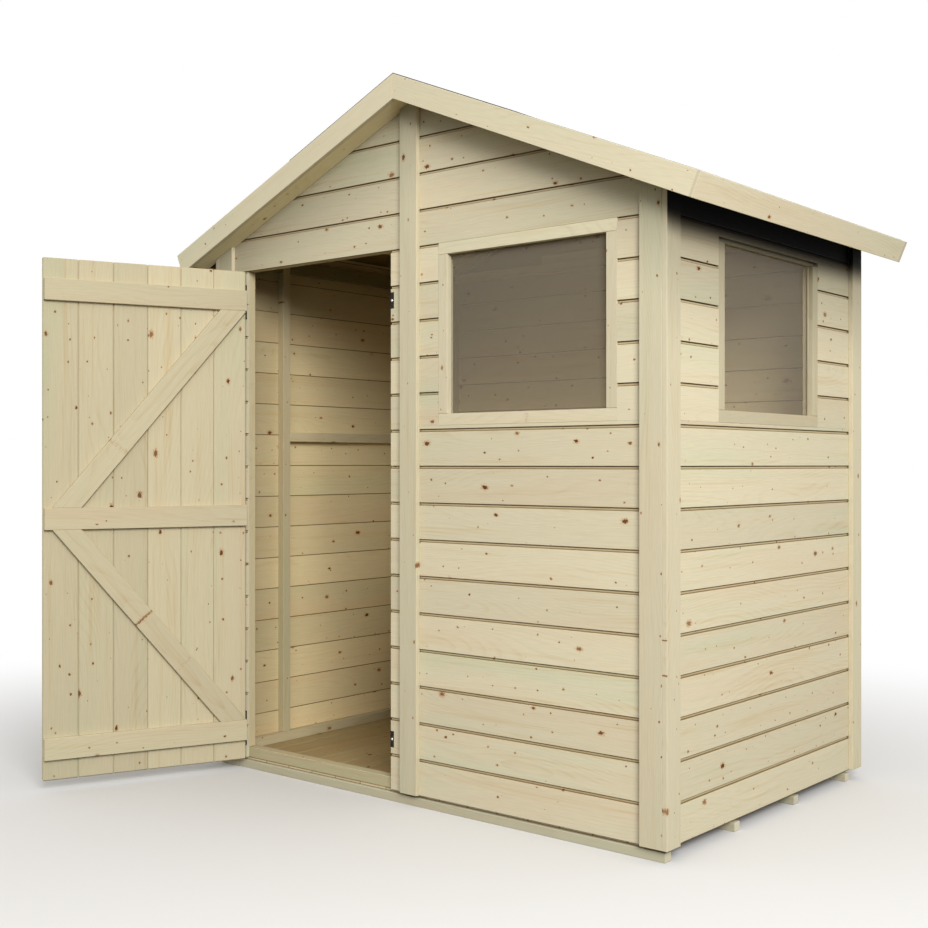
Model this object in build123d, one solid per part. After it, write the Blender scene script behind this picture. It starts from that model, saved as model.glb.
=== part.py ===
from build123d import *
from math import asin, atan2, cos, hypot, radians, sin, tan
import os

# Garden shed, in millimetres.
# X is across the front, Y runs from the front face of the boards to the back, Z is up.
# Everything is laid out from the middle of the front face at ground level, and moved once when it is saved,
# so that the origin of the part is the middle of the front joist's underside.

# Timber stock
board_pitch = 112
board_thickness = 12
stud_face = 34
stud_depth = 28
trim_width = 70
trim_thickness = 16
piece_gap = 0.3

# Overall size
shed_width = 1800
shed_depth = 1216
roof_pitch = 23
roof_above_head = 133
eaves_overhang = 145.6
verge_overhang = 69

# Base
joist_width = 32
joist_height = 26
joist_count = 4
back_joist_setback = 47
deck_thickness = 10

# Doorway and door
door_courses = 15
hinge_strip_width = 90
latch_strip_width = 86
sill_depth = 38
door_board_count = 6
door_hinge_gap = 3
door_latch_gap = 6
door_head_gap = 5
door_sill_gap = 5
ledge_end_gap = 67
ledge_latch_gap = 3
brace_foot_gap = 28
brace_head_gap = 2
door_open_angle = 111.8

# Hinges and keep plates
pin_radius = 2.5
pin_clearance = 0.15
knuckle_wall = 2
knuckle_gap = 0.5
hinge_plate_width = 35
hinge_plate_height = 118
hinge_metal = 3
strap_length = 290
strap_root = 34
strap_tip = 24
keep_height = 50
keep_width = 13
keep_metal = 1
keep_leg = 10
keep_inset = 157

# Windows
window_width = 640
window_height = 550
side_window_height = 544
side_rail_shown = 12
window_member = 35
window_rebate = 10
pane_thickness = 4
pane_setback = 20
side_stud_gap = 3

# Wall framing
eaves_plate_height = 46
gable_rail_width = 38
back_rail_rise = 56
back_batten_width = 748
wall_head_gap = 6

# Roof build
roof_board_thickness = 8
roof_frame_depth = 60
purlin_width = 34
eaves_rail_width = 34
ridge_rail_width = 45
felt_thickness = 2.5
felt_inset = 14
ridge_strip_reach = 500
ridge_strip_inset = 2

# Places worked out from the sizes above
half_width = shed_width / 2
side_frame_face = half_width - board_thickness
room_half = side_frame_face - stud_depth
frame_back = board_thickness + stud_depth
back_board_face = shed_depth - board_thickness
back_frame_face = back_board_face - stud_depth
wall_base = joist_height + deck_thickness
doorway_head = wall_base + door_courses * board_pitch
doorway_right = -latch_strip_width
doorway_width = room_half - hinge_strip_width - latch_strip_width
doorway_left = doorway_right - doorway_width
top_rail_top = doorway_head + stud_face
plate_top = top_rail_top + eaves_plate_height
window_head = doorway_head
window_sill = window_head - window_height
slope = radians(roof_pitch)
ridge_height = doorway_head + roof_above_head + half_width * tan(slope)
roof_slope_length = (half_width + eaves_overhang) / cos(slope)
roof_depth = roof_board_thickness + roof_frame_depth
roof_front = -verge_overhang
roof_back = shed_depth + verge_overhang
joint_edge = piece_gap / 2


def block(x0, x1, y0, y1, z0, z1):
    return Pos(x0, y0, z0) * Box(x1 - x0, y1 - y0, z1 - z0, align=Align.MIN)


def front_profile(points, y0, y1):
    outline = Polyline([(x, y0, z) for x, z in points], close=True)
    return extrude(make_face(outline), amount=y1 - y0, dir=(0, 1, 0))


def mirrored(shape):
    return mirror(shape, about=Plane.YZ)


def roof_height(x, depth=0):
    return ridge_height - abs(x) * tan(slope) - depth / cos(slope)


def under_boards(x):
    return roof_height(x, roof_board_thickness + piece_gap)


def under_verge(x):
    return roof_height(x, roof_depth + piece_gap)


def side_wall_top(x):
    return roof_height(x, roof_board_thickness + wall_head_gap)


def slope_point(distance, depth):
    x = distance * cos(slope) - depth * sin(slope)
    return x, ridge_height - distance * sin(slope) - depth * cos(slope)


def ridge_cut(depth):
    return joint_edge, roof_height(joint_edge, depth)


def roof_slab(start, end, top, bottom, y0, y1):
    """Slab along the right slope, square to it, or plumb at the ridge when start is None."""
    if start is None:
        head = [ridge_cut(bottom), ridge_cut(top)]
    else:
        head = [slope_point(start, bottom), slope_point(start, top)]
    foot = [slope_point(end, top), slope_point(end, bottom)]
    return front_profile(head + foot, y0, y1)


def wall_piece(x0, x1, y0, y1, z0, top=under_boards):
    """Upright piece whose top follows the roof."""
    points = [(x0, z0), (x1, z0), (x1, top(x1)), (x0, top(x0))]
    if x0 < 0 < x1:
        points.insert(3, (0, top(0)))
    return front_profile(points, y0, y1)


parts = {}


def add(name, *pieces):
    parts[name] = pieces


# Base: joists across the shed and the deck on them

joist_pitch = (shed_depth - back_joist_setback - joist_width) / (joist_count - 1)


def joist(number):
    y0 = number * joist_pitch
    return block(-half_width, half_width, y0, y0 + joist_width, 0, joist_height)


add("floor_joists", *[joist(number) for number in range(joist_count)])
add("floor_deck", block(-side_frame_face, side_frame_face, board_thickness, back_board_face, joist_height, wall_base))

# Front wall boards, split at the doorway and round the window

front_window_left = (room_half - window_width) / 2
window_right = front_window_left + window_width
below_head = window_head - piece_gap
add("front_wall_left_strip", block(-room_half, doorway_left, 0, board_thickness, wall_base, doorway_head))
add("front_wall_right_strip", block(doorway_right, 0, 0, board_thickness, wall_base, doorway_head))
add("front_wall_over_door", wall_piece(-room_half, 0, 0, board_thickness, doorway_head))
add(
    "front_wall_window_panel",
    block(0, room_half, 0, board_thickness, wall_base, window_sill),
    block(0, front_window_left, 0, board_thickness, window_sill + piece_gap, below_head),
    block(window_right, room_half, 0, board_thickness, window_sill + piece_gap, below_head),
    wall_piece(0, room_half, 0, board_thickness, window_head),
)

# Side and back wall boards, the side ones kept clear of the roof and lapped over the head of the window

side_window_front = (shed_depth - window_width) / 2
side_window_back = side_window_front + window_width
side_boards = (side_frame_face, half_width)
cover_edge = window_sill + side_window_height - window_member + side_rail_shown
cover_ends = (side_window_front + piece_gap, side_window_back - piece_gap)
add("left_wall", mirrored(wall_piece(*side_boards, 0, shed_depth, wall_base, side_wall_top)))
add(
    "right_wall",
    block(*side_boards, 0, shed_depth, wall_base, window_sill),
    block(*side_boards, 0, side_window_front, window_sill + piece_gap, below_head),
    block(*side_boards, side_window_back, shed_depth, window_sill + piece_gap, below_head),
    block(*side_boards, *cover_ends, cover_edge, below_head),
    wall_piece(*side_boards, 0, shed_depth, window_head, side_wall_top),
)
add("back_left_wall", wall_piece(-room_half, 0, back_board_face, shed_depth, wall_base))
add("back_right_wall", wall_piece(0, room_half, back_board_face, shed_depth, wall_base))

# Framing inside the side walls, with plates between the heads of the studs

stud_foot = wall_base + stud_face + piece_gap
stud_head = doorway_head - piece_gap
side_stud_front = side_window_front - side_stud_gap - stud_face
side_stud_back = side_window_back + side_stud_gap
side_stud_starts = (0, side_stud_front, side_stud_back, shed_depth - stud_face)
side_frame_x = (room_half, side_frame_face)


def between_studs(front_stud, back_stud):
    return front_stud + stud_face + piece_gap, back_stud - piece_gap


def side_frame():
    bottom_rail = block(*side_frame_x, 0, shed_depth, wall_base, wall_base + stud_face)
    studs = [block(*side_frame_x, y, y + stud_face, stud_foot, plate_top) for y in side_stud_starts]
    mid_ends = between_studs(side_stud_front, side_stud_back)
    mid_rail = block(*side_frame_x, *mid_ends, window_sill - stud_face, window_sill)
    return [bottom_rail, *studs, mid_rail]


def eaves_plates():
    bays = [between_studs(*pair) for pair in zip(side_stud_starts, side_stud_starts[1:])]
    return [block(*side_frame_x, *bay, top_rail_top, plate_top) for bay in bays]


add("right_wall_frame", *side_frame())
add("left_wall_frame", *[mirrored(piece) for piece in side_frame()])
add("right_eaves_plate", *eaves_plates())
add("left_eaves_plate", *[mirrored(piece) for piece in eaves_plates()])

# Framing inside the front and back walls

gable_rail_drop = gable_rail_width / cos(slope)


def under_gable_rail(x):
    return under_boards(x) - gable_rail_drop - piece_gap


def gable_rail(y0):
    points = [(joint_edge, under_boards(joint_edge) - gable_rail_drop), (joint_edge, under_boards(joint_edge))]
    points += [(room_half, under_boards(room_half)), (room_half, under_boards(room_half) - gable_rail_drop)]
    return front_profile(points, y0, y0 + stud_depth)


def cross_rail(x0, x1, y0, z0):
    return block(x0, x1, y0, y0 + stud_depth, z0, z0 + stud_face)


def upright(x0, y0, z0, z1):
    return block(x0, x0 + stud_face, y0, y0 + stud_depth, z0, z1)


def king_stud(y0, z0):
    points = [(-stud_face / 2, z0), (stud_face / 2, z0)]
    points += [(stud_face / 2, under_gable_rail(stud_face / 2)), (0, under_gable_rail(0))]
    points += [(-stud_face / 2, under_gable_rail(stud_face / 2))]
    return front_profile(points, y0, y0 + stud_depth)


def front_frame():
    y0 = board_thickness
    left_uprights = (-room_half, doorway_left - stud_face, doorway_right, -joint_edge - stud_face)
    right_uprights = (joint_edge, front_window_left - stud_face, window_right, room_half - stud_face)
    pieces = [upright(x, y0, stud_foot, stud_head) for x in left_uprights + right_uprights]
    pieces.append(cross_rail(-room_half, -joint_edge, y0, doorway_head))
    pieces.append(cross_rail(joint_edge, room_half, y0, doorway_head))
    pieces.append(cross_rail(joint_edge, room_half, y0, wall_base))
    mid_ends = (front_window_left + piece_gap, window_right - piece_gap)
    pieces.append(cross_rail(*mid_ends, y0, window_sill - stud_face))
    pieces.append(king_stud(y0, top_rail_top + piece_gap))
    pieces += [gable_rail(y0), mirrored(gable_rail(y0))]
    return pieces


back_rail_underside = top_rail_top + back_rail_rise
corner_upright = room_half - stud_face


def back_frame_side():
    y0 = back_frame_face
    pieces = [cross_rail(joint_edge, room_half, y0, wall_base)]
    pieces.append(upright(joint_edge, y0, stud_foot, back_rail_underside - piece_gap))
    pieces.append(upright(corner_upright, y0, stud_foot, under_gable_rail(room_half)))
    mid_ends = (joint_edge + stud_face + piece_gap, corner_upright - piece_gap)
    pieces.append(cross_rail(*mid_ends, y0, window_sill - stud_face))
    pieces.append(gable_rail(y0))
    return pieces


def back_gable_opening():
    """Room between the corner uprights and under the gable rails of the back wall."""
    reach = corner_upright - piece_gap
    points = [(-reach, top_rail_top), (reach, top_rail_top), (reach, under_gable_rail(reach))]
    points += [(0, under_gable_rail(0)), (-reach, under_gable_rail(reach))]
    return front_profile(points, back_frame_face, back_board_face)


def back_cross_piece(half, z0):
    return cross_rail(-half, half, back_frame_face, z0) & back_gable_opening()


door_sill_ends = (-room_half, -joint_edge)
door_sill_faces = (board_thickness, board_thickness + sill_depth)
add("door_sill", block(*door_sill_ends, *door_sill_faces, wall_base, wall_base + stud_face))
add("front_wall_frame", *front_frame())
back_side = back_frame_side()
add("back_wall_frame", *back_side, *[mirrored(piece) for piece in back_side])
back_rail = back_cross_piece(corner_upright, back_rail_underside)
back_batten = back_cross_piece(back_batten_width / 2, back_rail_underside + stud_face + piece_gap)
add("back_wall_rail", back_rail, back_batten)

# Windows: rebated rails right across, stiles between them, and a pane held in the rebate

rebated_member = window_member - window_rebate


def frame_member(width, face_height, back_height, front=0):
    face = Pos(0, front, 0) * Box(width, pane_setback - front, face_height, align=Align.MIN)
    back = Pos(0, pane_setback, 0) * Box(width, frame_back - pane_setback, back_height, align=Align.MIN)
    return face + back


def window_rail(front=0):
    """Level rail, its outer edge at Z 0 and its outer face at depth front."""
    return frame_member(window_width, window_member, rebated_member, front)


def window_stile(height):
    """Upright member, its outer edge at X 0, let between the rails."""
    face_foot = window_member + piece_gap
    back_foot = rebated_member + piece_gap
    face = Box(window_member, pane_setback, height - 2 * face_foot, align=Align.MIN)
    back = Box(rebated_member, frame_back - pane_setback, height - 2 * back_foot, align=Align.MIN)
    return Pos(0, 0, face_foot) * face + Pos(0, pane_setback, back_foot) * back


def window_frame(height, top_front=0):
    stile = window_stile(height)
    far_stile = Pos(window_width, 0, 0) * mirrored(stile)
    top_rail = Pos(0, 0, height) * mirror(window_rail(top_front), about=Plane.XY)
    return [stile, far_stile, window_rail(), top_rail]


def window_pane(height):
    edge = rebated_member + piece_gap
    pane = Box(window_width - 2 * edge, pane_thickness, height - 2 * edge, align=Align.MIN)
    return Pos(edge, pane_setback, edge) * pane


front_place = Pos(front_window_left, 0, window_sill)
side_place = Pos(half_width, side_window_front, window_sill) * Rot(0, 0, 90)
side_frame_pieces = window_frame(side_window_height, board_thickness)
add("front_window_frame", *[front_place * piece for piece in window_frame(window_height)])
add("front_window_pane", front_place * window_pane(window_height))
add("side_window_frame", *[side_place * piece for piece in side_frame_pieces])
add("side_window_pane", side_place * window_pane(side_window_height))

# Corner and centre trims, up to the underside of the verges

corner_inner = half_width - trim_width
trim_outer = half_width + trim_thickness
trim_front = -trim_thickness
trim_back = shed_depth + trim_thickness


def trim(x0, x1, y0, y1):
    return wall_piece(x0, x1, y0, y1, wall_base, under_verge)


def corner_trims(y0, y1, side_y0, side_y1):
    face = trim(corner_inner, half_width - piece_gap, y0, y1)
    side = trim(half_width, trim_outer, side_y0, side_y1)
    return [face, side, mirrored(face), mirrored(side)]


centre_trim_ends = (-trim_width / 2, trim_width / 2)
add("front_corner_trims", *corner_trims(trim_front, 0, trim_front, trim_front + trim_width))
add("back_corner_trims", *corner_trims(shed_depth, trim_back, trim_back - trim_width, trim_back))
add("front_centre_trim", trim(*centre_trim_ends, trim_front, 0))
add("back_centre_trim", trim(*centre_trim_ends, shed_depth, trim_back))

# Roof: boards on rails between the gables, packed out over the verges, felt on top, boards round the edges

board_end = roof_slope_length - trim_thickness
eaves_rail_start = board_end - eaves_rail_width
ridge_rail_end = ridge_rail_width + roof_depth * tan(slope)
purlin_start = (board_end - purlin_width) / 2
frame_layer = (roof_board_thickness, roof_depth)
verge_face = roof_front - trim_thickness
back_verge_face = roof_back + trim_thickness


def roof_frame():
    room_length = (frame_back + piece_gap, back_frame_face - piece_gap)
    ridge_rail = roof_slab(None, ridge_rail_end, *frame_layer, *room_length)
    purlin = roof_slab(purlin_start, purlin_start + purlin_width, *frame_layer, *room_length)
    eaves_rail = roof_slab(eaves_rail_start, board_end, *frame_layer, roof_front, roof_back)
    verge_reach = eaves_rail_start - piece_gap
    front_verge = roof_slab(None, verge_reach, *frame_layer, roof_front, -piece_gap)
    back_verge = roof_slab(None, verge_reach, *frame_layer, shed_depth + piece_gap, roof_back)
    return [ridge_rail, purlin, eaves_rail, front_verge, back_verge]


def roof_felt():
    sheet_end = roof_slope_length - felt_inset
    sheet = roof_slab(None, sheet_end, -felt_thickness, 0, verge_face + felt_inset, back_verge_face - felt_inset)
    strip_ends = (verge_face + ridge_strip_inset, back_verge_face - ridge_strip_inset)
    return sheet + roof_slab(None, ridge_strip_reach, -felt_thickness, 0, *strip_ends)


roof_boards = roof_slab(None, board_end, 0, roof_board_thickness, roof_front, roof_back)
fascia = roof_slab(board_end, roof_slope_length, 0, trim_width, roof_front, roof_back)
front_barge = roof_slab(None, roof_slope_length, 0, trim_width, verge_face, roof_front)
back_barge = roof_slab(None, roof_slope_length, 0, trim_width, roof_back, back_verge_face)
felt = roof_felt()

add("right_roof_boards", roof_boards)
add("left_roof_boards", mirrored(roof_boards))
add("right_roof_frame", *roof_frame())
add("left_roof_frame", *[mirrored(piece) for piece in roof_frame()])
add("right_fascia", fascia)
add("left_fascia", mirrored(fascia))
add("front_right_bargeboard", front_barge)
add("front_left_bargeboard", mirrored(front_barge))
add("back_right_bargeboard", back_barge)
add("back_left_bargeboard", mirrored(back_barge))
add("roof_felt", felt, mirrored(felt))

# Door: drawn closed, then swung open about its hinge pins

door_left = doorway_left + door_hinge_gap
door_right = doorway_right - door_latch_gap
door_width = door_right - door_left
door_board_width = door_width / door_board_count
door_foot = wall_base
door_top = doorway_head - door_head_gap
door_inner = board_thickness - door_sill_gap
door_outer = door_inner - board_thickness
ledge_inner = door_inner + trim_thickness
top_ledge = door_top - ledge_end_gap - trim_width
bottom_ledge = door_foot + ledge_end_gap
middle_ledge = (top_ledge + bottom_ledge) / 2
knuckle_radius = pin_radius + knuckle_wall
knuckle_relief = knuckle_radius + knuckle_gap
pin_x = doorway_left + door_hinge_gap / 2
pin_y = door_outer - knuckle_relief


def swung(piece):
    return Pos(pin_x, pin_y, 0) * Rot(0, 0, -door_open_angle) * Pos(-pin_x, -pin_y, 0) * piece


def door_board(number):
    x0 = door_left + number * door_board_width
    return block(x0 + joint_edge, x0 + door_board_width - joint_edge, door_outer, door_inner, door_foot, door_top)


def ledge(z):
    return block(door_left, door_right - ledge_latch_gap, door_inner, ledge_inner, z, z + trim_width)


def brace(foot_z, head_z):
    """Brace from its foot by the free edge to its head by the hinge edge."""
    rise = abs(head_z - foot_z)
    span = door_width - brace_foot_gap - brace_head_gap
    lean = atan2(rise, span) + asin(trim_width / hypot(rise, span))
    cut = trim_width / sin(lean)
    foot = door_right - brace_foot_gap
    head = door_left + brace_head_gap
    points = [(foot, foot_z), (foot - cut, foot_z), (head, head_z), (head + cut, head_z)]
    return front_profile(points, door_inner, ledge_inner)


upper_brace = brace(middle_ledge + trim_width, top_ledge)
lower_brace = brace(middle_ledge, bottom_ledge + trim_width)
add("door_boards", *[swung(door_board(number)) for number in range(door_board_count)])
add("door_ledges", *[swung(ledge(z)) for z in (bottom_ledge, middle_ledge, top_ledge)])
add("door_braces", swung(upper_brace), swung(lower_brace))

# Hinges: a tapered strap on the door and a cross plate on the boards beside the doorway


def upright_cylinder(radius, z0, z1):
    return Pos(pin_x, pin_y, z0) * Cylinder(radius, z1 - z0, align=(Align.CENTER, Align.CENTER, Align.MIN))


def hinge_strap(middle_z):
    low = middle_z - strap_root / 2
    high = middle_z + strap_root / 2
    tip_x = pin_x + strap_length - strap_tip / 2
    tip_low = middle_z - strap_tip / 2
    tip_high = middle_z + strap_tip / 2
    points = [(pin_x, low), (tip_x, tip_low), (tip_x, tip_high), (pin_x, high)]
    leaf = front_profile(points, door_outer - hinge_metal, door_outer)
    tip = Pos(tip_x, door_outer - hinge_metal / 2, middle_z) * Rot(90, 0, 0) * Cylinder(strap_tip / 2, hinge_metal)
    knuckle = upright_cylinder(knuckle_radius, low, high)
    return leaf + tip + knuckle - upright_cylinder(pin_radius + pin_clearance, low, high)


def hinge_plate(middle_z):
    low = middle_z - hinge_plate_height / 2
    high = middle_z + hinge_plate_height / 2
    plate = block(pin_x - hinge_plate_width, pin_x, -hinge_metal, 0, low, high)
    seat = block(pin_x - knuckle_radius, pin_x, pin_y, 0, low, high)
    knuckles = upright_cylinder(knuckle_radius, low, high)
    relief_half = strap_root / 2 + knuckle_gap
    relief_front = pin_y - knuckle_relief
    relief = block(pin_x - knuckle_relief, pin_x + knuckle_relief, relief_front, 0,
                   middle_z - relief_half, middle_z + relief_half)
    pin = upright_cylinder(pin_radius, low, high)
    return plate + seat + knuckles - relief + pin


for place, ledge_z in (("upper", top_ledge), ("lower", bottom_ledge)):
    hinge_z = ledge_z + trim_width / 2
    add(f"{place}_hinge_strap", swung(hinge_strap(hinge_z)))
    add(f"{place}_hinge_plate", hinge_plate(hinge_z))


# Keep plates folded round the right edge of the doorway

def keep_plate(middle_z):
    z0 = middle_z - keep_height / 2
    z1 = z0 + keep_height
    face = block(doorway_right - keep_metal, doorway_right + keep_width, -keep_metal, 0, z0, z1)
    leg = block(doorway_right - keep_metal, doorway_right, -keep_metal, keep_leg, z0, z1)
    return face + leg


keep_heights = (wall_base + keep_inset, doorway_head - keep_inset)
add("keep_plates", *[keep_plate(z) for z in keep_heights])

# Save with the origin under the middle of the front joist

to_origin = Pos(0, -joist_width / 2, 0)
os.makedirs("parts", exist_ok=True)
for name, pieces in parts.items():
    moved = [to_origin * piece for piece in pieces]
    shape = moved[0] if len(moved) == 1 else Compound(children=moved)
    export_step(shape, f"parts/{name}.step")
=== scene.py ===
import math
import random

import bmesh
import bpy
from mathutils import Matrix, Vector


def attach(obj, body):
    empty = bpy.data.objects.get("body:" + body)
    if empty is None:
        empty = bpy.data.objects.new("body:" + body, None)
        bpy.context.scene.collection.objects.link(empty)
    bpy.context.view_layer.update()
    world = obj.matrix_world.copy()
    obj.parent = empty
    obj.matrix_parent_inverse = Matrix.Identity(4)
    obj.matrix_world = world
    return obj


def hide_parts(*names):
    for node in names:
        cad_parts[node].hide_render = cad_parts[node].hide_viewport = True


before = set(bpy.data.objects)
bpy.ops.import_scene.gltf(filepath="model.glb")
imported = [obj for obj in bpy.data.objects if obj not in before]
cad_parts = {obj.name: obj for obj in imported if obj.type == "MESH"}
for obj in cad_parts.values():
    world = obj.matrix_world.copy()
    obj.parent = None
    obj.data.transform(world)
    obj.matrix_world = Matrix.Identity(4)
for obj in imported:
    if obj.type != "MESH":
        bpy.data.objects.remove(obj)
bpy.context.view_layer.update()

scene = bpy.context.scene
shedBody = "shed"
doorBody = "door"


# Camera: level, at the height of a person's chest, off the right front corner

shedView = {
    "place": (2.6706, -2.9482, 1.0496),
    "turnDegrees": 39.986,
    "lensMm": 50,
    "sensorMm": 36,
}


def placeCamera():
    data = bpy.data.cameras.new("shedCamera")
    data.sensor_width = shedView["sensorMm"]
    data.lens = shedView["lensMm"]
    data.clip_end = 200
    camera = bpy.data.objects.new("shedCamera", data)
    camera.location = shedView["place"]
    camera.rotation_euler = (math.radians(90), 0, math.radians(shedView["turnDegrees"]))
    scene.collection.objects.link(camera)
    scene.camera = camera


placeCamera()
print("camera in place")


# Small helpers for node trees

def newMaterial(name):
    material = bpy.data.materials.new(name)
    material.use_nodes = True
    tree = material.node_tree
    tree.nodes.clear()
    output = tree.nodes.new("ShaderNodeOutputMaterial")
    return material, tree, output


def addNode(tree, kind, settings=None, inputs=None):
    node = tree.nodes.new(kind)
    for key, value in (settings or {}).items():
        setattr(node, key, value)
    for key, value in (inputs or {}).items():
        if isinstance(value, bpy.types.NodeSocket):
            tree.links.new(value, node.inputs[key])
        else:
            node.inputs[key].default_value = value
    return node


def mathNode(tree, operation, first, second=0.0):
    node = addNode(tree, "ShaderNodeMath", {"operation": operation}, {0: first, 1: second})
    return node.outputs[0]


def times(tree, first, second):
    return mathNode(tree, "MULTIPLY", first, second)


def oneLess(tree, value):  # what a value leaves of one
    return mathNode(tree, "SUBTRACT", 1.0, value)


def scaledVector(tree, vector, scale):
    node = addNode(tree, "ShaderNodeVectorMath", {"operation": "MULTIPLY"}, {0: vector, 1: scale})
    return node.outputs[0]


def dimmed(tree, colour, amount):
    node = addNode(tree, "ShaderNodeVectorMath", {"operation": "SCALE"}, {0: colour, 3: amount})
    return node.outputs[0]


def partsOf(tree, vector):
    return addNode(tree, "ShaderNodeSeparateXYZ", None, {0: vector}).outputs


def attributeOf(tree, name, output):
    return addNode(tree, "ShaderNodeAttribute", {"attribute_name": name}).outputs[output]


def objectPlace(tree):
    return addNode(tree, "ShaderNodeTexCoord").outputs["Object"]


def smoothBetween(tree, value, low, high, lowOut=0.0, highOut=1.0):
    settings = {"interpolation_type": "SMOOTHSTEP"}
    inputs = {"Value": value, "From Min": low, "From Max": high, "To Min": lowOut, "To Max": highOut}
    return addNode(tree, "ShaderNodeMapRange", settings, inputs).outputs["Result"]


def mixColour(tree, factor, first, second, blend="MIX"):
    node = addNode(tree, "ShaderNodeMix", {"data_type": "RGBA", "blend_type": blend})
    for key, value in ((0, factor), (6, first), (7, second)):
        if isinstance(value, bpy.types.NodeSocket):
            tree.links.new(value, node.inputs[key])
        else:
            node.inputs[key].default_value = value
    return node.outputs[2]


def noiseOn(tree, vector, scale, detail=2.0, roughness=0.5):
    inputs = {
        "Vector": scaledVector(tree, vector, scale),
        "Scale": 1.0,
        "Detail": detail,
        "Roughness": roughness,
    }
    return addNode(tree, "ShaderNodeTexNoise", None, inputs).outputs[0]


# Pine: grain runs along each board, told by the board's own coordinates

pineLook = {
    "pale": (0.660, 0.592, 0.415, 1),
    "green": (0.605, 0.580, 0.400, 1),
    "pink": (0.665, 0.560, 0.385, 1),
    "honey": (0.610, 0.475, 0.270, 1),
    "ringShade": (0.80, 0.70, 0.55, 1),
    "knotHeart": (0.120, 0.042, 0.013, 1),
    "knotHalo": (0.500, 0.240, 0.080, 1),
    "endPale": (0.660, 0.600, 0.460, 1),
    "arrisShade": (0.92, 0.89, 0.84, 1),
    # faces toward the room made brighter and warmer: painted light with a warmer tone
    "roomPaintedLight": (1.20, 1.09, 0.88, 1),
    # deep painted shade in grooves, slots and hidden faces, on eaves rails and on roof boards over the
    # eaves
    "deepPaintedShade": (0.40, 0.31, 0.20, 1),
    "rebateShade": (0.84, 0.78, 0.68, 1),
}

knotSizes = {
    "large": {"cell": 0.125, "stretch": 0.62, "radius": 0.0052, "absent": 0.24},
    "pin": {"cell": 0.062, "stretch": 0.80, "radius": 0.0022, "absent": 0.50},
}


knotLook = {
    "sizeSkew": 1.3,
    "leastRadius": 0.0007,
    "unevenScale": (170, 240, 240),
    "uneven": (0.70, 1.35),
    "presentBlend": 0.04,
    "haloReach": (2.0, 0.9),
    "haloStrength": 0.60,
    "heartReach": (1.05, 0.80),
    "heartDepth": (0.62, 1.0),
}


def addKnots(tree, colour, grain, size, amount):
    cell = size["cell"]
    space = scaledVector(tree, grain, (size["stretch"] / cell, 1.0 / cell, 1.0 / cell))
    inputs = {"Vector": space, "Scale": 1.0}
    voronoi = addNode(tree, "ShaderNodeTexVoronoi", {"voronoi_dimensions": "2D"}, inputs)
    distance = times(tree, voronoi.outputs["Distance"], cell)
    chance = partsOf(tree, voronoi.outputs["Color"])
    spread = mathNode(tree, "POWER", chance[0], knotLook["sizeSkew"])
    radius = times(tree, spread, size["radius"] * amount)
    radius = mathNode(tree, "ADD", radius, knotLook["leastRadius"])
    ratio = mathNode(tree, "DIVIDE", distance, radius)
    uneven = noiseOn(tree, grain, knotLook["unevenScale"], 2)
    ratio = times(tree, ratio, smoothBetween(tree, uneven, 0.3, 0.7, *knotLook["uneven"]))
    absent = size["absent"]
    present = smoothBetween(tree, chance[1], absent, absent + knotLook["presentBlend"])
    depth = smoothBetween(tree, chance[2], 0.0, 1.0, *knotLook["heartDepth"])
    halo = times(tree, smoothBetween(tree, ratio, *knotLook["haloReach"]), present)
    halo = times(tree, halo, knotLook["haloStrength"])
    heart = times(tree, smoothBetween(tree, ratio, *knotLook["heartReach"]), present)
    heart = times(tree, heart, depth)
    colour = mixColour(tree, halo, colour, pineLook["knotHalo"])
    return mixColour(tree, heart, colour, pineLook["knotHeart"]), heart


kindShades = {"roomPaintedLight": 0.2, "rebateShade": 0.4, "arrisShade": 0.6, "deepPaintedShade": 0.8}


def kindMask(tree, kind, middle):
    low = smoothBetween(tree, kind, middle - 0.09, middle - 0.05)
    high = smoothBetween(tree, kind, middle + 0.09, middle + 0.05)
    return times(tree, low, high)


# Shade under the roof and inside is painted by place, heights and depths in metres

roofShadow = {
    "wallOuter": (0.885, 0.93),
    "wallBlend": 0.002,
    "behindFront": (0.1, 0.2),
    "eavesHeights": (1.636, 1.724),
    "eavesLeast": 0.0,
    "duskHeights": (1.30, 1.70),
    "duskLeast": 0.66,
    "roomHeights": (1.15, 1.75),
    "roomLeast": 0.72,
    "roomDepths": (0.02, 0.45),
    "nearLeast": 0.60,
    "ridge": 2.231,
    "pitchSlope": 0.4245,
    "vergeDrops": (0.05, 0.42),
    "vergeLeast": 0.65,
}


def roomDim(tree, place, kind):  # painted shade on inner faces, high up and close to the front
    high = smoothBetween(tree, place[2], *roofShadow["roomHeights"], 1.0, roofShadow["roomLeast"])
    near = smoothBetween(tree, place[1], *roofShadow["roomDepths"], roofShadow["nearLeast"], 1.0)
    loss = oneLess(tree, times(tree, high, near))
    return oneLess(tree, times(tree, loss, kindMask(tree, kind, kindShades["roomPaintedLight"])))


def sideWallMask(tree, place, normal, out):  # side walls and posts, without the front face
    side = mathNode(tree, "SIGN", place[0])
    facing = smoothBetween(tree, times(tree, normal[0], side), -0.6, -0.4)
    notFront = smoothBetween(tree, mathNode(tree, "ABSOLUTE", normal[1]), 0.7, 0.5)
    behind = smoothBetween(tree, place[1], *roofShadow["behindFront"])
    facing = times(tree, facing, mathNode(tree, "MAXIMUM", notFront, behind))
    inner, outer = roofShadow["wallOuter"]
    blend = roofShadow["wallBlend"]
    past = smoothBetween(tree, out, inner, inner + blend)
    within = smoothBetween(tree, out, outer + blend, outer)
    return times(tree, times(tree, past, within), facing)


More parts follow.
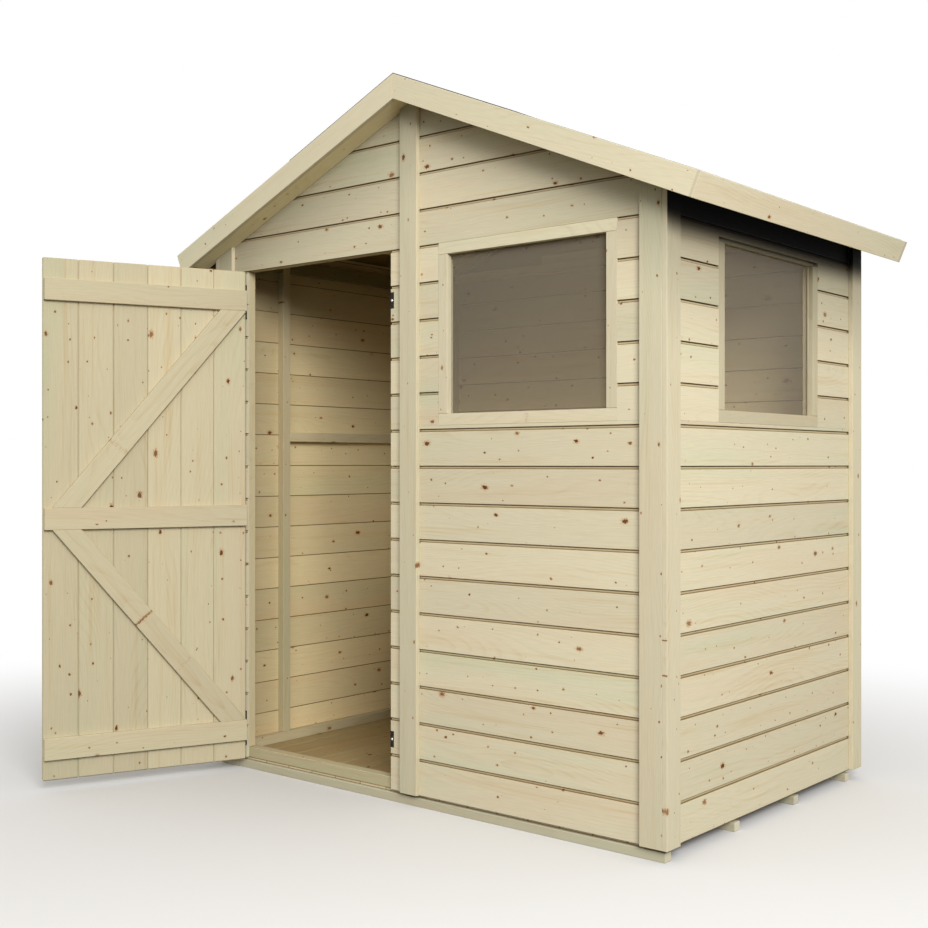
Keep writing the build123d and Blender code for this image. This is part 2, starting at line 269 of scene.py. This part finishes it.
def roofShade(tree, kind):
    place = partsOf(tree, objectPlace(tree))
    normal = partsOf(tree, addNode(tree, "ShaderNodeNewGeometry").outputs["Normal"])
    out = mathNode(tree, "ABSOLUTE", place[0])
    onSide = sideWallMask(tree, place, normal, out)
    eaves = smoothBetween(
        tree, place[2], *roofShadow["eavesHeights"], 0.0, 1.0 - roofShadow["eavesLeast"])
    dusk = smoothBetween(
        tree, place[2], *roofShadow["duskHeights"], 0.0, 1.0 - roofShadow["duskLeast"])
    eavesShade = oneLess(tree, times(tree, eaves, onSide))
    eavesShade = times(tree, eavesShade, oneLess(tree, times(tree, dusk, onSide)))
    fall = times(tree, out, roofShadow["pitchSlope"])
    roofLine = mathNode(tree, "SUBTRACT", roofShadow["ridge"], fall)
    drop = mathNode(tree, "SUBTRACT", roofLine, place[2])
    verge = smoothBetween(tree, drop, *roofShadow["vergeDrops"], 1.0 - roofShadow["vergeLeast"], 0.0)
    onGable = smoothBetween(tree, mathNode(tree, "ABSOLUTE", normal[1]), 0.5, 0.7)
    vergeShade = oneLess(tree, times(tree, verge, onGable))
    return times(tree, times(tree, eavesShade, vergeShade), roomDim(tree, place, kind))


pineGrain = {
    "broad": (0.9, 9, 9),
    "streak": (1.6, 46, 46),
    "fibre": (16, 520, 520),
    "wander": (1.1, 5.5, 5.5),
    "pinkFrom": (0.46, 0.72),
    "greenFrom": (0.54, 0.30),
    "honeyFrom": (0.52, 0.82),
    "honeyLeast": 0.35,
    "ringsPerMetre": 95.0,
    "ringWander": 26.0,
    "ringEdge": (0.55, 0.98),
    "ringFrom": (0.35, 0.75),
    "ringStrength": (0.05, 0.32),
    "fibreFrom": (0.30, 0.72),
    "fibreShade": (0.955, 1.03),
    "boardShade": (0.92, 1.05),
    "roughFrom": (0.2, 0.8),
    "roughness": (0.58, 0.74),
    "fibreHeight": 0.5,
    "ringHeight": 0.35,
    "heartDip": 0.8,
    "bumpStrength": 0.35,
    "bumpDepth": 0.0005,
}


def addRings(tree, colour, grain, streak, wander):
    across = times(tree, partsOf(tree, grain)[1], pineGrain["ringsPerMetre"])
    phase = mathNode(tree, "ADD", across, times(tree, wander, pineGrain["ringWander"]))
    ring = smoothBetween(tree, mathNode(tree, "FRACT", phase), *pineGrain["ringEdge"])
    strength = smoothBetween(tree, streak, *pineGrain["ringFrom"], *pineGrain["ringStrength"])
    shaded = mixColour(tree, times(tree, ring, strength), colour, pineLook["ringShade"], "MULTIPLY")
    return shaded, ring


def makePine(name, honey=0.25, knots=1.0, tint=(1, 1, 1, 1), paintRoofShade=False, sawn=0.65):
    material, tree, output = newMaterial(name)
    look = pineGrain
    grain = attributeOf(tree, "grainPos", "Vector")
    tone = partsOf(tree, attributeOf(tree, "boardTone", "Vector"))
    kind = attributeOf(tree, "faceKind", "Fac")

    broad = noiseOn(tree, grain, look["broad"], 2)
    streak = noiseOn(tree, grain, look["streak"], 3, 0.6)
    fibre = noiseOn(tree, grain, look["fibre"], 2, 0.6)
    wander = noiseOn(tree, grain, look["wander"], 1)

    pinkness = times(tree, smoothBetween(tree, broad, *look["pinkFrom"]), tone[0])
    greenness = times(tree, smoothBetween(tree, broad, *look["greenFrom"]), tone[1])
    colour = mixColour(tree, greenness, pineLook["pale"], pineLook["green"])
    colour = mixColour(tree, pinkness, colour, pineLook["pink"])
    warm = times(tree, smoothBetween(tree, streak, *look["honeyFrom"]), honey + look["honeyLeast"])
    colour = mixColour(tree, warm, colour, pineLook["honey"])
    colour, ring = addRings(tree, colour, grain, streak, wander)
    fibreShade = smoothBetween(tree, fibre, *look["fibreFrom"], *look["fibreShade"])
    colour = dimmed(tree, colour, fibreShade)

    colour = addKnots(tree, colour, grain, knotSizes["pin"], knots)[0]
    colour, heart = addKnots(tree, colour, grain, knotSizes["large"], knots)

    # face kinds: painted shade in rebates and grooves, painted light on room faces
    for shade, middle in kindShades.items():
        shaded = mixColour(tree, 1.0, colour, pineLook[shade], "MULTIPLY")
        colour = mixColour(tree, kindMask(tree, kind, middle), colour, shaded)
    colour = mixColour(tree, 1.0, colour, tint, "MULTIPLY")
    sawnEnd = smoothBetween(tree, kind, 0.9, 0.95, 0.0, sawn)
    colour = mixColour(tree, sawnEnd, colour, pineLook["endPale"])
    # painted shade under the eaves and verges and high up inside
    if paintRoofShade:
        colour = dimmed(tree, colour, roofShade(tree, kind))
    colour = dimmed(tree, colour, smoothBetween(tree, tone[2], 0.0, 1.0, *look["boardShade"]))

    fibreHeight = times(tree, fibre, look["fibreHeight"])
    height = mathNode(tree, "ADD", fibreHeight, times(tree, ring, look["ringHeight"]))
    height = mathNode(tree, "SUBTRACT", height, times(tree, heart, look["heartDip"]))
    bump = addNode(tree, "ShaderNodeBump", None, {
        "Strength": look["bumpStrength"],
        "Distance": look["bumpDepth"],
        "Height": height,
    })
    shader = addNode(tree, "ShaderNodeBsdfPrincipled", None, {
        "Base Color": colour,
        "Roughness": smoothBetween(tree, fibre, *look["roughFrom"], *look["roughness"]),
        "Specular IOR Level": 0.1,
        "Normal": bump.outputs[0],
    })
    tree.links.new(shader.outputs[0], output.inputs[0])
    return material


# Black iron for hinges and keep plates, bright zinc for screws

ironLook = {"colour": (0.009, 0.008, 0.007, 1), "worn": (0.030, 0.027, 0.023, 1)}


def makeIron():
    material, tree, output = newMaterial("blackIron")
    place = objectPlace(tree)
    cloud = noiseOn(tree, place, (160, 160, 160), 4)
    fine = noiseOn(tree, place, (900, 900, 900), 2)
    wear = smoothBetween(tree, cloud, 0.56, 0.75)
    colour = mixColour(tree, wear, ironLook["colour"], ironLook["worn"])
    bump = addNode(tree, "ShaderNodeBump", None, {"Strength": 0.3, "Distance": 0.0003, "Height": fine})
    shader = addNode(tree, "ShaderNodeBsdfPrincipled", None, {
        "Base Color": colour,
        "Roughness": smoothBetween(tree, cloud, 0.3, 0.7, 0.50, 0.66),
        "Specular IOR Level": 0.25,
        "Normal": bump.outputs[0],
    })
    tree.links.new(shader.outputs[0], output.inputs[0])
    return material


def makeZinc():
    material, tree, output = newMaterial("brightZinc")
    place = objectPlace(tree)
    cloud = noiseOn(tree, place, (700, 700, 700), 3)
    shader = addNode(tree, "ShaderNodeBsdfPrincipled", None, {
        "Base Color": mixColour(tree, cloud, (0.62, 0.61, 0.58, 1), (0.82, 0.81, 0.78, 1)),
        "Roughness": smoothBetween(tree, cloud, 0.3, 0.7, 0.25, 0.42),
        "Metallic": 0.9,
    })
    tree.links.new(shader.outputs[0], output.inputs[0])
    return material


# Mineral felt: dark bitumen sheet with stone granules

feltLook = {"dark": (0.022, 0.025, 0.024, 1), "grit": (0.095, 0.105, 0.098, 1)}


def makeFelt():
    material, tree, output = newMaterial("mineralFelt")
    place = objectPlace(tree)
    grit = noiseOn(tree, place, (1100, 1100, 1100), 2, 0.7)
    patch = noiseOn(tree, place, (3, 3, 3), 3)
    amount = smoothBetween(tree, grit, 0.42, 0.68)
    amount = times(tree, amount, smoothBetween(tree, patch, 0.2, 0.8, 0.6, 1.0))
    bump = addNode(tree, "ShaderNodeBump", None, {"Strength": 0.7, "Distance": 0.0008, "Height": grit})
    shader = addNode(tree, "ShaderNodeBsdfPrincipled", None, {
        "Base Color": mixColour(tree, amount, feltLook["dark"], feltLook["grit"]),
        "Roughness": smoothBetween(tree, grit, 0.3, 0.7, 0.82, 0.95),
        "Normal": bump.outputs[0],
    })
    tree.links.new(shader.outputs[0], output.inputs[0])
    return material


# Window sheet: clear, a little grey, seen through

paneLook = {
    "veil": (0.400, 0.345, 0.250, 1),
    "cloudy": (0.440, 0.385, 0.290, 1),
    "alpha": 0.18,
    "roughness": 0.06,
}


def makePaneSheet():
    material, tree, output = newMaterial("windowSheet")
    place = objectPlace(tree)
    cloud = noiseOn(tree, place, (2.5, 2.5, 2.5), 2)
    haze = smoothBetween(tree, cloud, 0.3, 0.7, 0.0, 0.25)
    shader = addNode(tree, "ShaderNodeBsdfPrincipled", None, {
        "Base Color": mixColour(tree, haze, paneLook["veil"], paneLook["cloudy"]),
        "Roughness": paneLook["roughness"],
        "Alpha": paneLook["alpha"],
        "Specular IOR Level": 0.4,
    })
    tree.links.new(shader.outputs[0], output.inputs[0])
    return material


wallPine = makePine("claddingPine", knots=1.1, paintRoofShade=True, sawn=0.10)
trimPine = makePine("trimPine", honey=0.1, knots=0.9, tint=(0.95, 0.955, 0.955, 1))
postPine = makePine("postPine", honey=0.1, knots=0.9, tint=(0.95, 0.955, 0.955, 1), paintRoofShade=True)
framePine = makePine("framePine", honey=0.2, knots=0.9, tint=(0.84, 0.80, 0.70, 1))
# roof frames lifted brighter: painted light, seen on the verge underside
vergePaintedLightPine = makePine("vergePaintedLightPine", honey=0.2, knots=0.9, tint=(1.36, 1.33, 1.18, 1))
doorPine = makePine("doorPine", honey=0.45, knots=1.15, tint=(0.845, 0.83, 0.79, 1))
# fascias lifted brighter: painted light
fasciaPaintedLightPine = makePine("fasciaPaintedLightPine", honey=0.1, knots=0.9, tint=(1.10, 1.11, 1.12, 1))
joistPine = makePine("joistPine", honey=0.2, knots=0.1, tint=(0.80, 0.83, 0.83, 1))
# eaves plates made much darker: painted shade where the walls meet the roof
platePaintedShadePine = makePine("platePaintedShadePine", honey=0.3, knots=0.8, tint=(0.32, 0.30, 0.22, 1))
floorPine = makePine("floorPine", honey=0.5, tint=(0.60, 0.49, 0.34, 1))
roofPine = makePine("roofPine", honey=0.3, tint=(0.98, 0.90, 0.75, 1))
sideFramePine = makePine(
    "sideFramePine", honey=0.1, knots=0.9, tint=(0.83, 0.82, 0.79, 1), paintRoofShade=True)
blackIron = makeIron()
brightZinc = makeZinc()
mineralFelt = makeFelt()
windowSheet = makePaneSheet()
print("materials made")


# Solids of a node, as clean closed meshes with flat faces

def solidsOf(nodeName):
    whole = bmesh.new()
    whole.from_mesh(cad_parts[nodeName].data)
    bmesh.ops.remove_doubles(whole, verts=whole.verts, dist=0.00002)
    bmesh.ops.dissolve_limit(
        whole, angle_limit=math.radians(0.4), verts=whole.verts, edges=whole.edges)
    whole.verts.ensure_lookup_table()
    seen = set()
    solids = []
    for start in whole.verts:
        if start.index in seen:
            continue
        island = []
        stack = [start]
        seen.add(start.index)
        while stack:
            vert = stack.pop()
            island.append(vert)
            for edge in vert.link_edges:
                other = edge.other_vert(vert)
                if other.index not in seen:
                    seen.add(other.index)
                    stack.append(other)
        solid = bmesh.new()
        copies = {vert.index: solid.verts.new(vert.co) for vert in island}
        for face in whole.faces:  # in the mesh's own order, so that every run is alike
            if face.verts[0].index in copies:
                solid.faces.new([copies[vert.index] for vert in face.verts])
        solid.normal_update()
        solids.append(solid)
    whole.free()
    solids.sort(key=solidKey)
    return solids


def solidKey(solid):
    centre = sum((vert.co for vert in solid.verts), Vector()) / len(solid.verts)
    return tuple(round(value, 4) for value in centre)


def cutAway(solid, point, normal):  # keeps what lies behind the plane
    if all((vert.co - point).dot(normal) < 0.00001 for vert in solid.verts):
        return
    parts = solid.verts[:] + solid.edges[:] + solid.faces[:]
    cut = bmesh.ops.bisect_plane(
        solid, geom=parts, dist=0.000001, plane_co=point, plane_no=normal, clear_outer=True)
    rim = [item for item in cut["geom_cut"] if isinstance(item, bmesh.types.BMEdge)]
    if rim:
        bmesh.ops.edgeloop_fill(solid, edges=rim)


def timberAxes(solid, along=None):  # along, across and through, from its longest edges
    edges = [edge.verts[1].co - edge.verts[0].co for edge in solid.edges]
    if along is None:
        along = max(edges, key=lambda edge: round(edge.length, 5))
    along = along.normalized()
    crosswise = [edge for edge in edges if abs(edge.normalized().dot(along)) < 0.2]
    across = max(crosswise, key=lambda edge: round(edge.length, 5))
    across = (across - along * across.dot(along)).normalized()
    return along, across, along.cross(across)


# Heaps gather many boards into one piece, each with its own grain and tone

# deepShadeFace marks faces that get the deep painted shade
plainFace, roomFace, rebateFace, arrisFace, deepShadeFace = range(5)
faceKinds = (0.0, 0.2, 0.4, 0.6, 0.8)


def newHeap():
    return {"verts": [], "faces": [], "grain": [], "tone": [], "kind": []}


def addToHeap(heap, solid, axes, dice, arris=0.0011):
    along, across, through = axes
    if arris:
        bmesh.ops.bevel(
            solid, geom=solid.edges[:], offset=arris, segments=1, affect="EDGES", clamp_overlap=True)
    solid.normal_update()
    solid.verts.index_update()
    offset = Vector((dice.uniform(0, 40), dice.uniform(0, 40), dice.uniform(0, 40)))
    tone = (dice.random(), dice.random(), dice.random())
    first = len(heap["verts"])
    for vert in solid.verts:
        heap["verts"].append(tuple(vert.co))
        place = Vector((vert.co.dot(along), vert.co.dot(across), vert.co.dot(through))) + offset
        heap["grain"].append(tuple(place))
        heap["tone"].append(tone)
    largest = max(face.calc_area() for face in solid.faces)
    for face in solid.faces:
        heap["faces"].append([first + vert.index for vert in face.verts])
        lengthwise = abs(face.normal.dot(along))
        if lengthwise > 0.75:
            heap["kind"].append(1.0)
        elif face.material_index:
            heap["kind"].append(faceKinds[face.material_index])
        elif arris and face.calc_area() < min(0.02 * largest, 0.004) and shortSide(face) < arris * 2:
            heap["kind"].append(faceKinds[arrisFace])
        else:
            heap["kind"].append(0.0)
    solid.free()


def shortSide(face):
    return min(edge.calc_length() for edge in face.edges)


def pieceFromHeap(heap, name, material, body, slotName, *replaced):
    mesh = bpy.data.meshes.new(name)
    mesh.from_pydata(heap["verts"], [], heap["faces"])
    for key, values in (("grainPos", heap["grain"]), ("boardTone", heap["tone"])):
        layer = mesh.attributes.new(key, "FLOAT_VECTOR", "POINT")
        layer.data.foreach_set("vector", [number for value in values for number in value])
    layer = mesh.attributes.new("faceKind", "FLOAT", "FACE")
    layer.data.foreach_set("value", heap["kind"])
    mesh.materials.append(material)
    mesh.update()
    piece = bpy.data.objects.new(name, mesh)
    scene.collection.objects.link(piece)
    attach(piece, body)
    if replaced:
        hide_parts(*replaced)


# Plain timbers: every solid of a node with softened edges and grain along its length

plainTimbers = {
    "floor_joists": (joistPine, "floor_timber", shedBody),
    "front_wall_frame": (framePine, "frame_timber", shedBody),
    "back_wall_frame": (framePine, "frame_timber", shedBody),
    "left_wall_frame": (framePine, "frame_timber", shedBody),
    "right_wall_frame": (framePine, "frame_timber", shedBody),
    "back_wall_rail": (framePine, "frame_timber", shedBody),
    "door_sill": (framePine, "frame_timber", shedBody),
    "left_eaves_plate": (platePaintedShadePine, "frame_timber", shedBody),
    "right_eaves_plate": (platePaintedShadePine, "frame_timber", shedBody),
    "left_roof_frame": (vergePaintedLightPine, "frame_timber", shedBody),
    "right_roof_frame": (vergePaintedLightPine, "frame_timber", shedBody),
    "front_corner_trims": (postPine, "trim_timber", shedBody),
    "back_corner_trims": (postPine, "trim_timber", shedBody),
    "front_centre_trim": (postPine, "trim_timber", shedBody),
    "back_centre_trim": (postPine, "trim_timber", shedBody),
    "front_left_bargeboard": (trimPine, "trim_timber", shedBody),
    "front_right_bargeboard": (trimPine, "trim_timber", shedBody),
    "back_left_bargeboard": (trimPine, "trim_timber", shedBody),
    "back_right_bargeboard": (trimPine, "trim_timber", shedBody),
    "left_fascia": (fasciaPaintedLightPine, "trim_timber", shedBody),
    "right_fascia": (fasciaPaintedLightPine, "trim_timber", shedBody),
    "front_window_frame": (trimPine, "trim_timber", shedBody),
    "side_window_frame": (sideFramePine, "trim_timber", shedBody),
    "door_boards": (doorPine, "door_timber", doorBody),
    "door_ledges": (doorPine, "door_timber", doorBody),
    "door_braces": (doorPine, "door_timber", doorBody),
}


softEdges = {"door_boards": 0.0030}
shadedRails = {"left_roof_frame": 0.92, "right_roof_frame": 0.92}  # eaves rails, beyond this reach, get the deep painted shade


def makePlainTimbers():
    for number, (nodeName, (material, slotName, body)) in enumerate(plainTimbers.items()):
        dice = random.Random(100 + number)
        heap = newHeap()
        for solid in solidsOf(nodeName):
            if nodeName in shadedRails and abs(solidKey(solid)[0]) > shadedRails[nodeName]:
                for face in solid.faces:
                    face.material_index = deepShadeFace
            addToHeap(heap, solid, timberAxes(solid), dice, softEdges.get(nodeName, 0.0011))
        pieceFromHeap(heap, nodeName + "_timber", material, body, slotName, nodeName)


makePlainTimbers()
print("plain timbers made")


# Shiplap: each course is one milled board, clipped to its wall

shiplap = {
    "pitch": 0.112,
    "base": 0.036,
    "rebateHeight": 0.0092,
    "rebateDepth": 0.0050,
    "slotHeight": 0.0024,
    "slotDepth": 0.0085,
    "dripRound": 0.0012,
    "innerChamfer": 0.0016,
}

wallSides = {
    "front_wall_left_strip": (0, -1),
    "front_wall_right_strip": (0, -1),
    "front_wall_over_door": (0, -1),
    "front_wall_window_panel": (0, -1),
    "left_wall": (-1, 0),
    "right_wall": (1, 0),
    "back_left_wall": (0, 1),
    "back_right_wall": (0, 1),
}


def shiplapProfile(thickness):  # depth behind the face, height, kind of the next face
    pitch = shiplap["pitch"]
    drip = shiplap["dripRound"]
    chamfer = shiplap["innerChamfer"]
    lip = pitch - shiplap["rebateHeight"]
    rebate = shiplap["rebateDepth"]
    slot = pitch - shiplap["slotHeight"]
    slotDepth = shiplap["slotDepth"]
    return [
        (drip, 0, arrisFace), (drip * 0.3, drip * 0.3, arrisFace), (0, drip, plainFace),
        (0, lip - drip, arrisFace), (drip * 0.4, lip, deepShadeFace),
        (rebate, lip + 0.0008, deepShadeFace), (rebate, lip + 0.0026, rebateFace),
        (rebate, slot, deepShadeFace), (slotDepth, slot, deepShadeFace), (slotDepth, pitch, deepShadeFace),
        (thickness - chamfer, pitch, deepShadeFace), (thickness, pitch - chamfer, roomFace),
        (thickness, chamfer, deepShadeFace), (thickness - chamfer, 0, deepShadeFace),
    ]


def shiplapBoard(start, along, inward, length, thickness, lowZ):
    board = bmesh.new()
    profile = shiplapProfile(thickness)
    rings = []
    for distance in (0, length):
        ring = []
        for depth, height, kind in profile:
            place = start + along * distance + inward * depth
            ring.append(board.verts.new((place.x, place.y, lowZ + height)))
        rings.append(ring)
    count = len(profile)
    for index in range(count):
        after = (index + 1) % count
        face = board.faces.new([rings[0][index], rings[0][after], rings[1][after], rings[1][index]])
        face.material_index = profile[index][2]
    board.faces.new(rings[0][::-1])
    board.faces.new(rings[1])
    bmesh.ops.recalc_face_normals(board, faces=board.faces)
    return board


def makeShiplapWalls():
    up = Vector((0, 0, 1))
    for number, (nodeName, side) in enumerate(wallSides.items()):
        dice = random.Random(300 + number)
        outward = Vector((side[0], side[1], 0))
        inward = -outward
        along = up.cross(outward)
        heap = newHeap()
        for solid in solidsOf(nodeName):
            spread = [vert.co.dot(along) for vert in solid.verts]
            depths = [vert.co.dot(inward) for vert in solid.verts]
            heights = [vert.co.z for vert in solid.verts]
            planes = [(face.verts[0].co.copy(), face.normal.copy()) for face in solid.faces
                      if abs(face.normal.dot(outward)) < 0.5]
            start = along * min(spread) + inward * min(depths)
            length = max(spread) - min(spread)
            thickness = max(depths) - min(depths)
            course = math.floor((min(heights) - shiplap["base"]) / shiplap["pitch"] + 0.001)
            lowZ = shiplap["base"] + course * shiplap["pitch"]
            while lowZ < max(heights) - 0.0005:
                board = shiplapBoard(start, along, inward, length, thickness, lowZ)
                for point, normal in planes:
                    cutAway(board, point, normal)
                if len(board.faces) > 3:
                    addToHeap(heap, board, (along, up, outward), dice, arris=0)
                lowZ += shiplap["pitch"]
            solid.free()
        pieceFromHeap(heap, nodeName + "_shiplap", wallPine, shedBody, "cladding_timber", nodeName)


makeShiplapWalls()
print("shiplap walls made")


# Floor and roof boards: a slab sawn into boards that run from front to back

slabBoards = {
    "floor_deck": (floorPine, "floor_timber", 0.112, 0.0028),
    "left_roof_boards": (roofPine, "roof_timber", 0.112, 0.0008),
    "right_roof_boards": (roofPine, "roof_timber", 0.112, 0.0008),
}


paintedShadeReach = 0.86  # roof boards beyond this, out over the side walls, get the deep painted shade


def makeSlabBoards():
    along = Vector((0, 1, 0))
    for number, (nodeName, (material, slotName, pitch, arris)) in enumerate(slabBoards.items()):
        dice = random.Random(500 + number)
        heap = newHeap()
        for solid in solidsOf(nodeName):
            axes = timberAxes(solid, along)
            across = axes[1]
            spread = [vert.co.dot(across) for vert in solid.verts]
            low = min(spread)
            while low < max(spread) - 0.002:
                board = solid.copy()
                cutAway(board, across * low, -across)
                cutAway(board, across * (low + pitch), across)
                if nodeName != "floor_deck" and abs(solidKey(board)[0]) > paintedShadeReach:
                    for face in board.faces:
                        face.material_index = deepShadeFace
                addToHeap(heap, board, axes, dice, arris)
                low += pitch
            solid.free()
        pieceFromHeap(heap, nodeName + "_boards", material, shedBody, slotName, nodeName)


makeSlabBoards()
print("floor and roof boards made")


# Nodes that keep their own shape

keptNodes = {
    "front_window_pane": windowSheet,
    "side_window_pane": windowSheet,
    "upper_hinge_strap": blackIron,
    "lower_hinge_strap": blackIron,
    "upper_hinge_plate": blackIron,
    "lower_hinge_plate": blackIron,
    "keep_plates": blackIron,
}


def dressKeptNodes():
    for nodeName, material in keptNodes.items():
        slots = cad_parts[nodeName].material_slots
        for materialSlot in slots:
            materialSlot.material = material


dressKeptNodes()
print("kept nodes dressed")


# Screws: domed heads on the ironwork, laid out from the hinge pin

hingeTurn = math.radians(-111.8)
screws = {
    "pin": Vector((-0.7685, -0.026, 0)),
    "hingeHeights": {"upper": 1.609, "lower": 0.138},
    "strapReaches": (0.042, 0.115, 0.190, 0.262),
    "strapFace": 0.002,
    "plateReach": 0.022,
    "plateRows": (-0.046, 0.046),
    "plateFace": -0.0190,
    "keepPlaces": ((-0.0805, 0.193), (-0.0805, 1.559)),
    "keepFace": -0.0170,
    "ironRadius": 0.0048,
    "zincRadius": 0.0042,
    "rise": 0.0016,
}


def screwHead(place, outward, radius):
    head = bmesh.new()
    turn = Vector((0, 0, 1)).rotation_difference(outward).to_matrix().to_4x4()
    rise = screws["rise"]
    bmesh.ops.create_cone(
        head, cap_ends=True, segments=20, radius1=radius, radius2=radius * 0.6, depth=rise)
    seat = Matrix.Translation(place + outward * rise / 2)
    bmesh.ops.transform(head, verts=head.verts, matrix=seat @ turn)
    return head


def makeScrews(name, places, radius, material, body, slotName):
    dice = random.Random(name)
    heap = newHeap()
    for place, outward in places:
        head = screwHead(place, outward, radius)
        addToHeap(heap, head, (Vector((1, 0, 0)), Vector((0, 1, 0)), Vector((0, 0, 1))), dice, arris=0)
    pieceFromHeap(heap, name, material, body, slotName)


def hingeScrews(height):
    turn = Matrix.Rotation(hingeTurn, 4, "Z")
    strap = []
    for reach in screws["strapReaches"]:
        local = Vector((reach, screws["strapFace"], height))
        strap.append((screws["pin"] + turn @ local, turn @ Vector((0, -1, 0))))
    plate = []
    for row in screws["plateRows"]:
        place = Vector((screws["pin"].x - screws["plateReach"], screws["plateFace"], height + row))
        plate.append((place, Vector((0, -1, 0))))
    return strap, plate


ironRadius = screws["ironRadius"]
for hingeName, hingeHeight in screws["hingeHeights"].items():
    strapPlaces, platePlaces = hingeScrews(hingeHeight)
    makeScrews(hingeName + "_strap_screws", strapPlaces, ironRadius, blackIron, doorBody, "black_iron")
    makeScrews(hingeName + "_plate_screws", platePlaces, ironRadius, blackIron, shedBody, "black_iron")
forward = Vector((0, -1, 0))
keepPlaces = [(Vector((x, screws["keepFace"], z)), forward) for x, z in screws["keepPlaces"]]
makeScrews("keep_plate_screws", keepPlaces, screws["zincRadius"], brightZinc, shedBody, "black_iron")
print("screws made")


# Felt: a thin sheet over the whole slope and a thicker strip over the ridge

feltSheet = {"thickness": 0.0009, "lapReach": 0.50, "slopeDegrees": 23, "ridge": 2.23103}


def makeFeltSheets():
    dice = random.Random(700)
    heap = newHeap()
    tilt = math.radians(feltSheet["slopeDegrees"])
    for solid in solidsOf("roof_felt"):
        side = math.copysign(1, solidKey(solid)[0])
        downhill = Vector((side * math.cos(tilt), 0, -math.sin(tilt)))
        upward = Vector((side * math.sin(tilt), 0, math.cos(tilt)))
        peak = Vector((0, 0, feltSheet["ridge"]))
        lap = peak + downhill * feltSheet["lapReach"]
        strip = solid.copy()
        cutAway(strip, lap, downhill)
        cutAway(solid, lap, -downhill)
        cutAway(solid, peak + upward * feltSheet["thickness"], upward)
        for sheet in (strip, solid):
            addToHeap(heap, sheet, (Vector((0, 1, 0)), downhill, upward), dice, arris=0)
    pieceFromHeap(heap, "roof_felt_sheets", mineralFelt, shedBody, "mineral_felt", "roof_felt")


makeFeltSheets()
print("felt made")


# Studio: pale floor that fades to white, white surround, soft light

studio = {
    "floorHalf": 60.0,
    "floorColour": (0.69, 0.68, 0.665, 1),
    "floorBounce": (0.110, 0.100, 0.080, 1),
    "fadeStart": 1.3,
    "fadeEnd": 3.8,
    "worldStrength": 0.85,
    "keyPlace": (5.6, -4.1, 4.0),
    "keyAim": (0.3, 0.2, 0.9),
    "keySize": 3.0,
    "keyWatts": 525,
}


def makeFloor():
    half = studio["floorHalf"]
    mesh = bpy.data.meshes.new("studioFloor")
    corners = [(-half, -half, 0), (half, -half, 0), (half, half, 0), (-half, half, 0)]
    mesh.from_pydata(corners, [], [(0, 1, 2, 3)])
    floor = bpy.data.objects.new("studioFloor", mesh)
    scene.collection.objects.link(floor)
    material, tree, output = newMaterial("studioFloor")
    lightPath = addNode(tree, "ShaderNodeLightPath").outputs
    seen = mathNode(tree, "MAXIMUM", lightPath["Is Camera Ray"], lightPath["Is Glossy Ray"])
    seen = mathNode(tree, "MAXIMUM", seen, lightPath["Is Transmission Ray"])
    colour = mixColour(tree, seen, studio["floorBounce"], studio["floorColour"])
    matt = addNode(tree, "ShaderNodeBsdfDiffuse", None, {"Color": colour})
    white = addNode(tree, "ShaderNodeEmission", None, {"Color": (1, 1, 1, 1), "Strength": 1.0})
    place = objectPlace(tree)
    reach = addNode(tree, "ShaderNodeVectorMath", {"operation": "LENGTH"}, {0: place}).outputs["Value"]
    fade = smoothBetween(tree, reach, studio["fadeStart"], studio["fadeEnd"])
    fade = times(tree, fade, seen)
    mix = addNode(tree, "ShaderNodeMixShader", None, {0: fade, 1: matt.outputs[0], 2: white.outputs[0]})
    tree.links.new(mix.outputs[0], output.inputs[0])
    mesh.materials.append(material)


def makeWorld():
    world = bpy.data.worlds.new("studioWorld")
    scene.world = world
    world.use_nodes = True
    tree = world.node_tree
    tree.nodes.clear()
    output = tree.nodes.new("ShaderNodeOutputWorld")
    lightPath = addNode(tree, "ShaderNodeLightPath").outputs
    seen = mathNode(tree, "MAXIMUM", lightPath["Is Camera Ray"], lightPath["Is Glossy Ray"])
    seen = mathNode(tree, "MAXIMUM", seen, lightPath["Is Transmission Ray"])
    strength = smoothBetween(tree, seen, 0.0, 1.0, studio["worldStrength"], 1.0)
    inputs = {"Color": (1, 1, 1, 1), "Strength": strength}
    background = addNode(tree, "ShaderNodeBackground", None, inputs)
    tree.links.new(background.outputs[0], output.inputs[0])


def makeKeyLight():
    data = bpy.data.lights.new("keyLight", "AREA")
    data.energy = studio["keyWatts"]
    data.size = studio["keySize"]
    light = bpy.data.objects.new("keyLight", data)
    light.location = studio["keyPlace"]
    aim = Vector(studio["keyAim"]) - Vector(studio["keyPlace"])
    light.rotation_euler = aim.to_track_quat("-Z", "Y").to_euler()
    scene.collection.objects.link(light)


makeFloor()
makeWorld()
makeKeyLight()
scene.view_settings.view_transform = "Standard"
print("studio made")
